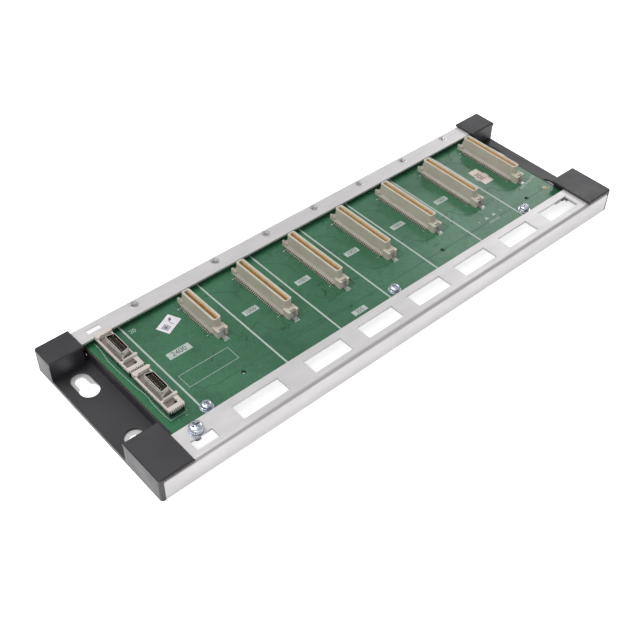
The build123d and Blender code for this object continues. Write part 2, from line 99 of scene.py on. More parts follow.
def noise(tree, scale, detail=3.0, rough=0.55, stretch=(1, 1, 1)):
    coords = tree.nodes.new("ShaderNodeTexCoord")
    mapping = tree.nodes.new("ShaderNodeMapping")
    mapping.inputs["Scale"].default_value = stretch
    tree.links.new(coords.outputs["Object"], mapping.inputs["Vector"])
    tex = tree.nodes.new("ShaderNodeTexNoise")
    tex.inputs["Scale"].default_value = scale
    tex.inputs["Detail"].default_value = detail
    tex.inputs["Roughness"].default_value = rough
    tree.links.new(mapping.outputs["Vector"], tex.inputs["Vector"])
    return tex.outputs["Fac"]


def ramp(tree, value, low, high, out_low=0.0, out_high=1.0):
    node = tree.nodes.new("ShaderNodeMapRange")
    node.inputs["From Min"].default_value = low
    node.inputs["From Max"].default_value = high
    node.inputs["To Min"].default_value = out_low
    node.inputs["To Max"].default_value = out_high
    tree.links.new(value, node.inputs["Value"])
    return node.outputs["Result"]


def bump(tree, shader, height, strength, distance):
    node = tree.nodes.new("ShaderNodeBump")
    node.inputs["Strength"].default_value = strength
    node.inputs["Distance"].default_value = distance
    tree.links.new(height, node.inputs["Height"])
    tree.links.new(node.outputs["Normal"], shader.inputs["Normal"])


def surface(name, dark, light, rough, metallic=0.0, scale=60.0, stretch=(1, 1, 1),
            rough_swing=0.08, grain=None, grain_depth=0.00002, specular=0.5):
    """Two-tone mottled finish with uneven roughness and an optional fine grain."""
    mat, tree, shader = new_material(name)
    tone = noise(tree, scale, 4.0, 0.6, stretch)
    factor = ramp(tree, tone, 0.3, 0.7)
    tree.links.new(mix_color(tree, factor, dark, light), shader.inputs["Base Color"])
    uneven = noise(tree, scale * 3.1, 2.0, 0.5, stretch)
    tree.links.new(
        ramp(tree, uneven, 0.3, 0.7, rough - rough_swing, rough + rough_swing),
        shader.inputs["Roughness"],
    )
    shader.inputs["Metallic"].default_value = metallic
    shader.inputs["Specular IOR Level"].default_value = specular
    if grain:
        bump(tree, shader, noise(tree, grain, 2.0, 0.5, stretch), 0.35, grain_depth)
    return mat


def brushed_metal():
    """Mill-finish sheet, with painted shade along the bend where the near flange is folded down."""
    mat = surface("aluminium", (0.545, 0.53, 0.53), (0.615, 0.60, 0.60), 0.40, 0.45, scale=70,
                  stretch=(0.5, 1.6, 1.6), grain=1700, grain_depth=0.00002, rough_swing=0.04)
    tree = mat.node_tree
    shader = tree.nodes["Principled BSDF"]
    flat = shader.inputs["Base Color"].links[0].from_socket
    coords = tree.nodes.new("ShaderNodeTexCoord")
    axis = tree.nodes.new("ShaderNodeSeparateXYZ")
    tree.links.new(coords.outputs["Object"], axis.inputs["Vector"])
    # Painted shade: the colour darkens in a narrow band along the near bend, where the flange turns down.
    edge = (2.1 - DEPTH / 2) * MM
    across = ramp(tree, axis.outputs["Y"], edge - 0.0007, edge + 0.0003, 1.0, 0.0)
    high = ramp(tree, axis.outputs["Z"], 0.0114, 0.0121)
    fold_shade = tree.nodes.new("ShaderNodeMath")
    fold_shade.operation = "MULTIPLY"
    tree.links.new(across, fold_shade.inputs[0])
    tree.links.new(high, fold_shade.inputs[1])
    tree.links.new(mix_color(tree, fold_shade.outputs[0], flat, (0.40, 0.387, 0.39)), shader.inputs["Base Color"])
    return mat


aluminium = brushed_metal()
black = surface("black_moulding", (0.0165, 0.0148, 0.0175), (0.0245, 0.0222, 0.026), 0.40,
                scale=30, grain=2600, grain_depth=0.00004, rough_swing=0.05)
ivory = surface("ivory_moulding", (0.435, 0.40, 0.325), (0.51, 0.475, 0.39), 0.42,
                scale=120, grain=1500, grain_depth=0.00001)
# Darker copy of the ivory moulding, painted shade on the ledge tops of the connector housings.
ivory_shade = surface("ivory_moulding_ledge_painted_shade", (0.25, 0.23, 0.185), (0.31, 0.285, 0.235), 0.5,
                      scale=120, grain=1500, grain_depth=0.00001)
beige = surface("beige_moulding", (0.47, 0.43, 0.39), (0.55, 0.51, 0.465), 0.36,
                scale=150, grain=1800, grain_depth=0.00001)
# Darker copy of the beige moulding, painted shade on the low floors of the port frames.
beige_floor_shade = surface("beige_moulding_floor_painted_shade", (0.14, 0.115, 0.098), (0.175, 0.145, 0.124), 0.5,
                scale=60, grain=1800, grain_depth=0.00001)
nickel = surface("nickel", (0.62, 0.60, 0.58), (0.72, 0.70, 0.68), 0.24, 0.9, scale=40)
tin = surface("tin", (0.52, 0.52, 0.53), (0.72, 0.72, 0.72), 0.3, 0.95, scale=500)
gold = surface("gold_contact", (0.66, 0.41, 0.15), (0.82, 0.55, 0.24), 0.42, 0.35, scale=400)
zinc = surface("zinc", (0.50, 0.54, 0.62), (0.70, 0.73, 0.78), 0.24, 0.95, scale=350)
steel = surface("insert_plating", (0.46, 0.45, 0.45), (0.62, 0.61, 0.60), 0.33, 0.85, scale=400)
port_resin = surface("port_moulding", (0.006, 0.018, 0.012), (0.012, 0.030, 0.020), 0.22,
                     scale=160, grain=1800, grain_depth=0.00001)
lead_tin = surface("lead_tin", (0.40, 0.375, 0.335), (0.52, 0.49, 0.44), 0.42, 0.4, scale=500)
# Dark brown, painted shade of notches on the connector rims.
brown = surface("notch_shade", (0.24, 0.20, 0.14), (0.32, 0.27, 0.20), 0.6, scale=400)
# Near-black contact colour, painted shade on the port contacts down in the cores; only their tips are gold.
port_contact_shade = surface("port_contact_painted_shade", (0.035, 0.024, 0.015), (0.06, 0.042, 0.026), 0.4, 0.5, scale=400)
# Pale sheet colour, painted light in the small far window of the flange.
window_light_sheet = surface("window_painted_light", (0.74, 0.73, 0.73), (0.82, 0.81, 0.81), 0.5, 0.1, scale=90)
track = surface("track_green", (0.011, 0.056, 0.028), (0.018, 0.072, 0.036), 0.42, scale=80)
via = surface("via_green", (0.004, 0.018, 0.010), (0.008, 0.028, 0.016), 0.5, scale=300, specular=0.2)
# Near-black green, painted shadow on the board between the connector leads.
lead_shade = surface("lead_gap_painted_shadow", (0.004, 0.010, 0.006), (0.008, 0.018, 0.011), 0.7, scale=300,
                     specular=0.1)
# Near-black moulding for the port cores, also used as painted shade on the inner faces of the shells.
black_core_and_shell_shade = surface("dark_moulding_and_shell_shade", (0.006, 0.0055, 0.0055), (0.011, 0.010, 0.0095), 0.5,
                     scale=160, grain=1800, grain_depth=0.00001, specular=0.2)
print_white = surface("print_white", (0.32, 0.375, 0.35), (0.41, 0.46, 0.435), 0.5, scale=900)
print_dark = surface("print_dark", (0.02, 0.036, 0.028), (0.04, 0.06, 0.05), 0.5, scale=900)
paper = surface("label_paper", (0.58, 0.565, 0.61), (0.68, 0.66, 0.70), 0.5, scale=250)
ink = surface("label_ink", (0.045, 0.036, 0.05), (0.09, 0.075, 0.095), 0.5, scale=700)
pink = surface("pink_label", (0.47, 0.375, 0.32), (0.56, 0.455, 0.395), 0.5, scale=300)
pink_pale = surface("pink_label_pale", (0.55, 0.50, 0.45), (0.63, 0.57, 0.52), 0.5, scale=300)


def solder_mask():
    """Green lacquer over copper on the faces, bare glass-fibre on the cut edges."""
    mat, tree, shader = new_material("solder_mask")
    cloud = ramp(tree, noise(tree, 22, 4.0, 0.6), 0.35, 0.65)
    green = mix_color(tree, cloud, (0.026, 0.105, 0.052), (0.040, 0.142, 0.074))
    weave = ramp(tree, noise(tree, 900, 2.0, 0.6, (1, 0.4, 1)), 0.45, 0.62, 0.0, 0.30)
    green = mix_color(tree, weave, green, (0.018, 0.070, 0.036))
    stain = ramp(tree, noise(tree, 75, 5.0, 0.65), 0.52, 0.68, 0.0, 0.45)
    green = mix_color(tree, stain, green, (0.014, 0.066, 0.034))
    coords = tree.nodes.new("ShaderNodeTexCoord")
    spot = tree.nodes.new("ShaderNodeSeparateXYZ")
    tree.links.new(coords.outputs["Object"], spot.inputs["Vector"])
    margin = ramp(tree, spot.outputs["X"], -0.137, -0.127, 0.75, 0.0)
    green = mix_color(tree, margin, green, (0.022, 0.145, 0.058))
    geometry = tree.nodes.new("ShaderNodeNewGeometry")
    axis = tree.nodes.new("ShaderNodeSeparateXYZ")
    tree.links.new(geometry.outputs["True Normal"], axis.inputs["Vector"])
    flat = tree.nodes.new("ShaderNodeMath")
    flat.operation = "ABSOLUTE"
    tree.links.new(axis.outputs["Z"], flat.inputs[0])
    side = ramp(tree, flat.outputs[0], 0.4, 0.6, 1.0, 0.0)
    color = mix_color(tree, side, green, (0.26, 0.27, 0.12))
    tree.links.new(color, shader.inputs["Base Color"])
    tree.links.new(
        ramp(tree, noise(tree, 260, 2.0), 0.3, 0.7, 0.20, 0.30), shader.inputs["Roughness"]
    )
    bump(tree, shader, noise(tree, 1400, 3.0, 0.6), 0.2, 0.00001)
    return mat


board_mask = solder_mask()


# Mesh helpers
def finish_mesh(name, bm, mat, body="root"):
    mesh = bpy.data.meshes.new(name)
    bmesh.ops.recalc_face_normals(bm, faces=bm.faces)
    bm.to_mesh(mesh)
    bm.free()
    mesh.materials.append(mat)
    piece = bpy.data.objects.new(name, mesh)
    bpy.context.scene.collection.objects.link(piece)
    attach(piece, body)
    return piece


def add_box(bm, x0, x1, y0, y1, z0, z1, turn=0.0, centre=None):
    """Box between two corners given in photo millimetres; turn is about Z, in degrees."""
    verts = []
    for z in (z0, z1):
        for x, y in ((x0, y0), (x1, y0), (x1, y1), (x0, y1)):
            verts.append(bm.verts.new(place(x, y, z)))
    for quad in ((0, 3, 2, 1), (4, 5, 6, 7), (0, 1, 5, 4), (1, 2, 6, 5), (2, 3, 7, 6), (3, 0, 4, 7)):
        bm.faces.new([verts[i] for i in quad])
    if turn:
        middle = place(*centre)
        spin = Matrix.Rotation(math.radians(turn), 3, "Z")
        bmesh.ops.rotate(bm, verts=verts, cent=middle, matrix=spin)


def add_frame(bm, x0, x1, y0, y1, z0, z1, width):
    add_box(bm, x0, x1, y0, y0 + width, z0, z1)
    add_box(bm, x0, x1, y1 - width, y1, z0, z1)
    add_box(bm, x0, x0 + width, y0 + width, y1 - width, z0, z1)
    add_box(bm, x1 - width, x1, y0 + width, y1 - width, z0, z1)


def add_lathe(bm, x, y, profile, sides=48, gap=0.0, lift=0.0):
    """Closed profile of (radius, z) turned about a vertical axis; a gap leaves it split."""
    spins = sides if gap == 0 else sides + 1
    span = 2 * math.pi - gap
    rings = []
    for step in range(spins):
        angle = span * step / sides
        rise = lift * step / sides
        ring = [
            bm.verts.new(place(x + r * math.cos(angle), y + r * math.sin(angle), z + rise))
            for r, z in profile
        ]
        rings.append(ring)
    count = len(profile)
    for step in range(sides):
        a, b = rings[step], rings[(step + 1) % len(rings)]
        for i in range(count):
            j = (i + 1) % count
            if profile[i][0] < 1e-6 and profile[j][0] < 1e-6:
                continue
            bm.faces.new([a[i], b[i], b[j], a[j]])
    if gap:
        bm.faces.new(rings[0])
        bm.faces.new(rings[-1])
    bmesh.ops.remove_doubles(bm, verts=bm.verts, dist=1e-7)


def round_edges(piece, width, segments=2, angle=30):
    mod = piece.modifiers.new("soft_edges", "BEVEL")
    mod.width = width * MM
    mod.segments = segments
    mod.limit_method = "ANGLE"
    mod.angle_limit = math.radians(angle)
    mod.harden_normals = True


def evaluated_mesh(piece):
    graph = bpy.context.evaluated_depsgraph_get()
    return bpy.data.meshes.new_from_object(piece.evaluated_get(graph))


def cut_away(piece, cutter_bm):
    """Subtract a closed shape from a piece that was made here."""
    mesh = bpy.data.meshes.new("cutter")
    bmesh.ops.recalc_face_normals(cutter_bm, faces=cutter_bm.faces)
    cutter_bm.to_mesh(mesh)
    cutter_bm.free()
    cutter = bpy.data.objects.new("cutter", mesh)
    bpy.context.scene.collection.objects.link(cutter)
    mod = piece.modifiers.new("recess", "BOOLEAN")
    mod.object = cutter
    mod.operation = "DIFFERENCE"
    mod.solver = "EXACT"
    result = evaluated_mesh(piece)
    piece.modifiers.clear()
    piece.data = result
    bpy.data.objects.remove(cutter)


def add_prism(bm, outline, y0, y1):
    """Closed outline of (x, z) points carried from y0 to y1."""
    ends = [[bm.verts.new(place(x, y, z)) for x, z in outline] for y in (y0, y1)]
    bm.faces.new(ends[0])
    bm.faces.new(ends[1][::-1])
    for i in range(len(outline)):
        j = (i + 1) % len(outline)
        bm.faces.new([ends[0][i], ends[1][i], ends[1][j], ends[0][j]])


def smooth_path(points, steps=6):
    """Points of a curve that passes through all the given ones."""
    path = []
    for i in range(len(points) - 1):
        before = points[max(i - 1, 0)]
        a, b = points[i], points[i + 1]
        after = points[min(i + 2, len(points) - 1)]
        for step in range(steps):
            t = step / steps
            path.append(tuple(
                0.5 * (2 * q + (r - p) * t + (2 * p - 5 * q + 4 * r - u) * t ** 2
                       + (3 * q - p - 3 * r + u) * t ** 3)
                for p, q, r, u in zip(before, a, b, after)
            ))
    path.append(points[-1])
    return path


def add_ribbon(bm, points, width, z):
    """Flat strip along a path on the board."""
    rows = []
    for i, (x, y) in enumerate(points):
        ahead = points[min(i + 1, len(points) - 1)]
        behind = points[max(i - 1, 0)]
        dx, dy = ahead[0] - behind[0], ahead[1] - behind[1]
        size = math.hypot(dx, dy) or 1.0
        nx, ny = -dy / size * width / 2, dx / size * width / 2
        rows.append((bm.verts.new(place(x + nx, y + ny, z)), bm.verts.new(place(x - nx, y - ny, z))))
    for a, b in zip(rows, rows[1:]):
        bm.faces.new([a[0], a[1], b[1], b[0]])


def add_digits(bm, text, x, y, size, z, turn=0.0):
    """Plain figures, drawn flat, with the middle of the line at x, y."""
    curve = bpy.data.curves.new("figures", "FONT")
    curve.body = text
    curve.size = size * MM
    curve.align_x = "CENTER"
    curve.align_y = "CENTER"
    sign = bpy.data.objects.new("figures", curve)
    bpy.context.scene.collection.objects.link(sign)
    mesh = evaluated_mesh(sign)
    bpy.data.objects.remove(sign)
    mesh.transform(Matrix.Translation(place(x, y, z)) @ Matrix.Rotation(math.radians(turn), 4, "Z"))
    bm.from_mesh(mesh)


# CAD nodes that keep their own shape
def dress(node, mat, bevel=0.0, segments=2):
    piece = nodes[node]
    piece.data.materials.clear()
    piece.data.materials.append(mat)
    if bevel:
        round_edges(piece, bevel, segments)


def dress_shell(node, port_y):
    """Bright outside, painted shade on the faces that look inwards."""
    dress(node, nickel, 0.1, 3)
    piece = nodes[node]
    piece.data.materials.append(black_core_and_shell_shade)
    centre = place(PORT_X + SHELL_OFFSET, port_y)
    for face in piece.data.polygons:
        middle = piece.matrix_world @ face.center
        normal = piece.matrix_world.to_3x3() @ face.normal
        out = Vector((middle.x - centre.x, middle.y - centre.y, 0))
        if abs(normal.z) < 0.5 and normal.dot(out) < 0:
            face.material_index = 1


def dress_in_two(node, mat, other, bevel, chosen):
    """Second material on the faces that a rule on their height in mm and their rise picks."""
    dress(node, mat, bevel, 3)
    piece = nodes[node]
    piece.data.materials.append(other)
    for face in piece.data.polygons:
        middle = piece.matrix_world @ face.center
        normal = piece.matrix_world.to_3x3() @ face.normal
        if chosen(middle.z / MM, normal.z):
            face.material_index = 1


dress("chassis", aluminium, 0.12)
dress("end_bracket_left", black, 0.45, 3)
dress("end_bracket_right", black, 0.45, 3)
dress("circuit_board", board_mask)
connector_names = ["power_connector"] + [f"slot_connector_{slot}" for slot in range(SLOT_COUNT)]
for name in connector_names:
    # Ledge tops below the housing body get the darker ivory as painted shade.
    dress_in_two(name + "_housing", ivory, ivory_shade, 0.22, lambda z, rise: rise > 0.3 and z < 12.5)
    dress(name + "_clips", tin, 0.08)
for port in range(2):
    dress_in_two(f"cable_port_{port}_base", port_resin, black_core_and_shell_shade, 0.1, lambda z, rise: z > 12.5)
    # Low floors of each port frame get the painted shade.
    dress_in_two(f"cable_port_{port}_frame", beige, beige_floor_shade, 0.1, lambda z, rise: rise > 0.5 and z < 13.2)
    dress_shell(f"cable_port_{port}_shell", PORTS[port])
    # Port contacts carry painted shade; their gold tips are added in port_marks.
    dress(f"cable_port_{port}_contacts", port_contact_shade)
dress("check_label", paper)
dress("lot_label", pink)


# Left, right, near and far sides of the corner below the last window that stays clear
CLEAR_CORNER = ((285.0, 309.5, 1.3, 19.45), (299.0, 308.0, 19.0, 22.0))


def trimmed(node, mat, bevel, low, high):
    """The node's own shape, kept clear of the view through the last window between two heights."""
    source = nodes[node]
    mesh = source.data.copy()
    mesh.transform(source.matrix_world)
    piece = bpy.data.objects.new(node + "_trimmed", mesh)
    bpy.context.scene.collection.objects.link(piece)
    for sides in CLEAR_CORNER:
        cutter = bmesh.new()
        add_box(cutter, *sides, low, high)
        cut_away(piece, cutter)
    piece.data.materials.clear()
    piece.data.materials.append(mat)
    round_edges(piece, bevel, 3)
    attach(piece, "root")
    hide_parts(node)


trimmed("chassis", aluminium, 0.12, -1.0, 1.3)
trimmed("end_bracket_right", black, 0.45, 1.1, 2.6)


def under_flange():
    """The bracket's black plate carried on into the far corner, standing in for the shade there, and a pale
    sheet in the small window, painted light seen through it.
    """
    bm = bmesh.new()
    # Painted shade: a black filler plate under the far flange.
    add_box(bm, 19.6, 26.4, 97.4, 104.2, 1.25, 2.35)
    finish_mesh("end_bracket_left_corner_shade_plate", bm, black)
    bm = bmesh.new()
    # Painted light: a pale sheet set in the small far window.
    add_box(bm, 26.33, 34.07, 97.93, 100.87, 11.6, 12.3)
    finish_mesh("cable_window_painted_light", bm, window_light_sheet)


under_flange()


# Screws, washers and inserts
def dome(radius, seat, height):
    """Profile of a pan head from its seat to its middle."""
    edge = 0.42 * height
    arc = [
        (radius * math.cos(math.radians(a)) ** 0.6, seat + edge + (height - edge) * math.sin(math.radians(a)))
        for a in (0, 12, 26, 42, 58, 74)
    ]
    return [(radius * 0.96, seat), (radius, seat + 0.12 * height)] + arc + [(0, seat + height)]


def thread(radius, tip, seat, pitch):
    """Profile of a threaded shank from its tip to the seat of the head."""
    depth = 0.32 * pitch
    points = [(0, tip), (radius - 1.6 * depth, tip)]
    z = tip + 0.3
    while z < seat - 1.2 * pitch:
        points += [(radius - depth, z), (radius, z + 0.5 * pitch)]
        z += pitch
    return points + [(radius - depth, z), (radius - depth, seat)]


def add_cross(bm, x, y, reach, half, low, high, turn):
    """Tapered cross, the form that a driver leaves in a screw head."""
    rings = []
    for z, size in ((low, 0.72), (high, 1.12)):
        a, b = reach * size, half * size
        corners = [
            (a, b), (b, b), (b, a), (-b, a), (-b, b), (-a, b),
            (-a, -b), (-b, -b), (-b, -a), (b, -a), (b, -b), (a, -b),
        ]
        cos, sin = math.cos(math.radians(turn)), math.sin(math.radians(turn))
        rings.append([
            bm.verts.new(place(x + u * cos - v * sin, y + u * sin + v * cos, z))
            for u, v in corners
        ])
    bm.faces.new(rings[0][::-1])
    bm.faces.new(rings[1])
    for i in range(12):
        j = (i + 1) % 12
        bm.faces.new([rings[0][i], rings[0][j], rings[1][j], rings[1][i]])


def screws(name, node, places, seat, radius, height, shank, reach, pitch, turn):
    """Threaded screws with domed, cross-recessed heads, drawn in place of a node's plain ones."""
    bm = bmesh.new()
    cutter = bmesh.new()
    for x, y in places:
        profile = thread(shank, seat - reach, seat, pitch) + dome(radius, seat, height)
        add_lathe(bm, x, y, profile, 40)
        add_cross(cutter, x, y, 0.60 * radius, 0.13 * radius, seat + 0.40 * height, seat + height + 0.4, turn)
    piece = finish_mesh(name, bm, zinc)
    cut_away(piece, cutter)
    piece.data.shade_smooth()
    round_edges(piece, 0.05, 2, 35)
    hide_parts(node)


def washers(name, node, places, low, height, outer, inner, split=False):
    """Flat washers, or lock washers with a split and a slight rise, in place of a node's rings."""
    bm = bmesh.new()
    for number, (x, y) in enumerate(places):
        edge = 0.08
        profile = [
            (inner, low), (outer - edge, low), (outer, low + edge),
            (outer, low + height - edge), (outer - edge, low + height), (inner, low + height),
        ]
        if split:
            profile = [(r, z * 0.72 + low * 0.28) for r, z in profile]
            add_lathe(bm, x, y, profile, 48, 0.2, height * 0.25)
        else:
            add_lathe(bm, x, y, profile, 64)
    piece = finish_mesh(name, bm, zinc)
    piece.data.shade_smooth()
    round_edges(piece, 0.04, 2, 35)
    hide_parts(node)


SCREW_ROW = 24.7
BOARD_SCREWS = [(x, SCREW_ROW) for x in (43.8, SLOT_LINES[2] + 5.4, SLOT_LINES[5] + 4.2)]
GROUND = [(30.0, 13.7)]
INSERTS = [(x, DEPTH - 4.4) for x in [55.4] + [line + 16.15 for line in SLOT_LINES]]

screws("board_screws_turned", "board_screws", BOARD_SCREWS, seat=10.2, radius=2.8, height=2.0,
       shank=1.5, reach=5.2, pitch=0.5, turn=22)
washers("board_lock_washers_split", "board_screw_lock_washers", BOARD_SCREWS, low=9.5, height=0.7,
        outer=2.75, inner=1.8, split=True)
washers("board_flat_washers_turned", "board_screw_flat_washers", BOARD_SCREWS, low=9.0, height=0.5,
        outer=3.5, inner=1.8)
screws("ground_screw_turned", "ground_screw", GROUND, seat=14.6, radius=3.6, height=2.7,
       shank=2.0, reach=7.2, pitch=0.7, turn=8)
washers("ground_lock_washer_split", "ground_lock_washer", GROUND, low=13.5, height=1.1,
        outer=3.5, inner=2.3, split=True)
washers("ground_flat_washer_turned", "ground_flat_washer", GROUND, low=12.7, height=0.8,
        outer=4.0, inner=2.3)


def inserts():
    """Round inserts with a thin collar on the flange and a threaded bore."""
    bm = bmesh.new()
    for x, y in INSERTS:
        profile = [
            (2.4, 9.5), (2.4, 12.5), (2.65, 12.68), (2.65, 12.74), (2.5, 12.78), (1.6, 12.78), (1.36, 12.55),
        ]
        z = 12.4
        while z > 9.8:
            profile += [(1.5, z), (1.25, z - 0.25)]
            z -= 0.5
        profile.append((1.4, 9.5))
        add_lathe(bm, x, y, profile, 48)
    piece = finish_mesh("module_inserts_turned", bm, steel)
    piece.data.shade_smooth()
    round_edges(piece, 0.03, 2, 35)
    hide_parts("module_screw_inserts")


inserts()


# Contacts: a gull-wing lead outside each housing wall and a sprung blade in its mouth
LEAD = [
    (3.4, 9.95), (3.86, 9.95), (4.02, 9.24), (4.7, 9.22),
    (4.7, 9.03), (3.86, 9.03), (3.7, 9.72), (3.4, 9.72),
]
BLADE = [(1.0, 9.5), (1.0, 17.75), (0.93, 17.75), (0.72, 16.6), (0.70, 13.5), (0.82, 9.5)]


def contacts(name, centre, count):
    leads, blades, pads, notch_shadow_marks, teeth, gap_shadows = (bmesh.new() for _ in range(6))
    for number in range(count):
        y = CONNECTOR_FAR - FIRST_CONTACT - PITCH * number
        for side in (-1, 1):
            add_prism(leads, [(centre + side * x, z) for x, z in LEAD], y - 0.24, y + 0.24)
            add_prism(blades, [(centre + side * x, z) for x, z in BLADE], y - 0.58, y + 0.58)
            low, high = sorted((centre + side * 3.7, centre + side * 4.85))
            add_box(pads, low, high, y - 0.28, y + 0.28, BOARD_TOP, BOARD_TOP + 0.03)
            # Painted shade of notches: thin dark slanted strips on the rim bevel at each contact.
            slant = [(0.985, 17.83), (1.35, 18.212), (1.62, 18.212)]
            add_prism(notch_shadow_marks, [(centre + side * x, z) for x, z in slant + [(1.62, 18.15), (1.2, 17.83)]],
                      y - 0.27, y + 0.27)
    for number in range(count + 1):
        y = CONNECTOR_FAR - FIRST_CONTACT - PITCH * (number - 0.5)
        for side in (-1, 1):
            low, high = sorted((centre + side * 0.8, centre + side * 1.2))
            add_box(teeth, low, high, y - 0.05, y + 0.05, 16.6, 17.95)
    # Painted shadow: a dark strip on the board under each row of leads, seen between them.
    near = CONNECTOR_FAR - 2.4 - PITCH * (count - 1)
    for side in (-1, 1):
        low, high = sorted((centre + side * 3.3, centre + side * 5.05))
        add_box(gap_shadows, low, high, near, CONNECTOR_FAR - 1.2, BOARD_TOP, BOARD_TOP + 0.012)
    finish_mesh(name + "_lead_gap_shadows", gap_shadows, lead_shade)
    piece = finish_mesh(name + "_leads", leads, lead_tin)
    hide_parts(name + "_contacts")
    finish_mesh(name + "_blades", blades, gold)
    finish_mesh(name + "_pads", pads, lead_tin)
    finish_mesh(name + "_rim_notch_shadows", notch_shadow_marks, brown)
    finish_mesh(name + "_rim_teeth", teeth, ivory)


for name, (centre, count) in zip(connector_names, CONNECTORS):
    contacts(name, centre, count)


# Print, traces and small parts on the board
PRINT_Z = BOARD_TOP + 0.03
TRACE_Z = BOARD_TOP + 0.008
PORT_OUTLINE = [
    (35.9, 30.3), (35.7, 28.9), (26.4, 28.9), (25.9, 33.0), (25.9, 44.0), (26.5, 46.5), (26.5, 51.0),
    (25.9, 55.0), (25.5, 65.0), (25.2, 72.0), (25.2, 79.9), (26.1, 85.5), (26.5, 90.3), (26.6, 94.0),
]


def silkscreen():
    bm, feet = bmesh.new(), bmesh.new()
    low, high = BOARD_TOP, PRINT_Z
    add_box(bm, 41.5, 42.5, 27.8, 96.0, low, high)
    for line in SLOT_LINES:
        add_box(bm, line - 0.5, line + 0.5, 20.2, 96.0, low, high)
    add_box(bm, 48.6, 62.1, 60.2, 64.8, low, high)
    for line in SLOT_LINES:
        add_box(bm, line + 4.5, line + 13.7, 60.2, 63.9, low, high)
    add_box(bm, 138.4, 147.4, 23.8, 27.3, low, high)
    add_frame(bm, 45.1, 75.1, 39.8, 49.2, low, high, 0.24)
    add_ribbon(bm, PORT_OUTLINE, 0.3, high)
    for centre, count in CONNECTORS:
        near = CONNECTOR_FAR - (count - 1) * PITCH - 3.6
        for x in (centre - 1.6, centre - 0.5, centre + 0.6):
            add_box(bm, x, x + 0.7, near - 7.6, near - 6.7, low, high)
        add_box(feet, centre - 1.3, centre + 1.3, near - 6.6, near - 4.6, low, BOARD_TOP + 0.22)
        add_box(bm, centre - 6.4, centre - 5.3, CONNECTOR_FAR - 1.9, CONNECTOR_FAR - 1.3, low, high)
        add_box(bm, centre - 6.1, centre - 5.6, near + 1.0, near + 1.7, low, high)
        add_box(bm, centre + 5.5, centre + 6.1, near + 1.0, near + 1.6, low, high)
    line = SLOT_LINES[4]
    for x in (line + 17.0, line + 23.0):
        for step in range(4):
            half = 1.3 - 0.32 * step
            add_box(bm, x - half, x + half, 32.6 + 0.5 * step, 33.1 + 0.5 * step, low, high)
    add_digits(bm, "20", 45.8, 88.9, 3.6, high)
    add_digits(bm, "0", 34.0, 26.9, 1.5, high)
    add_digits(bm, "1", 29.6, 26.9, 1.5, high)
    add_digits(bm, "4", line + 11.0, 33.4, 2.6, high)
    add_digits(bm, "5", line + 29.0, 33.4, 2.6, high)
    add_digits(bm, "0000-000", line + 19.5, 29.6, 2.2, high)
    add_digits(bm, "0000 0000-000", 294.6, 40.6, 2.7, high, 12)
    add_digits(bm, "00", 300.2, 29.0, 2.6, high)
    finish_mesh("board_print", bm, print_white)
    finish_mesh("clip_solder_feet", feet, tin)
    bm = bmesh.new()
    add_digits(bm, "2400", 55.3, 62.5, 4.4, high + 0.01)
    for slot, line in enumerate(SLOT_LINES):
        add_digits(bm, f"100{slot}", line + 9.1, 62.05, 3.4, high + 0.01)
    add_digits(bm, "350", 142.9, 25.55, 3.4, high + 0.01)
    finish_mesh("board_figures", bm, print_dark)


def traces():
    """Tracks that show through the lacquer, with the holes that join the copper layers."""
    bm = bmesh.new()
    paths = [
        [(46.8, 33.9), (52.6, 34.9), (57.0, 33.0), (75.0, 32.9),
         (100.3, 32.1), (150.0, 31.2), (214.0, 30.6), (296.0, 30.2)],
        [(92.0, 55.0), (91.5, 49.5), (91.6, 42.8), (93.1, 37.9), (98.0, 36.0), (115.0, 33.9), (137.0, 32.6)],
        [(82.6, 58.5), (83.5, 54.4), (85.0, 50.5), (89.2, 50.2), (97.0, 53.2), (98.2, 49.8), (99.8, 43.9),
         (103.2, 42.3), (110.0, 41.2), (116.3, 41.9), (122.4, 42.2)],
        [(88.0, 85.6), (93.2, 84.9), (97.2, 82.9), (101.6, 78.7), (101.7, 70.0)],
    ]
    for line in SLOT_LINES[1:]:
        paths.append([(line - 7.5, 58.0), (line - 5.0, 51.5), (line - 1.0, 49.6), (line + 5.0, 52.0),
                      (line + 7.6, 46.0), (line + 12.0, 42.6), (line + 19.0, 41.6), (line + 30.0, 42.4)])
        paths.append([(line - 2.0, 85.8), (line + 3.0, 84.7), (line + 8.0, 81.0),
                      (line + 10.6, 77.0), (line + 10.8, 69.0)])
    for path in paths:
        add_ribbon(bm, smooth_path(path), 0.42, TRACE_Z)
    finish_mesh("board_tracks", bm, track)
    bm = bmesh.new()
    for _ in range(230):
        centre = CONNECTORS[rng.randrange(7)][0]
        spread = rng.choice((7.0, 12.0, 15.0))
        x = centre + rng.uniform(-spread, spread)
        y = rng.choice((rng.uniform(30, 95), rng.gauss(46, 6), rng.gauss(84, 5)))
        step = rng.choice(((1.1, 0.0), (0.0, 1.1), (0.8, 0.8)))
        size = rng.uniform(0.18, 0.42)
        for number in range(rng.randrange(1, 6)):
            u, v = x + number * step[0], y + number * step[1]
            if 26 < v < 96 and abs(u - centre) > 5.6 and 46 < u < 299:
                spot = bmesh.ops.create_circle(bm, cap_ends=True, segments=8, radius=size * MM)
                bmesh.ops.translate(bm, verts=spot["verts"], vec=place(u, v, TRACE_Z + 0.002))
    finish_mesh("board_vias", bm, via)


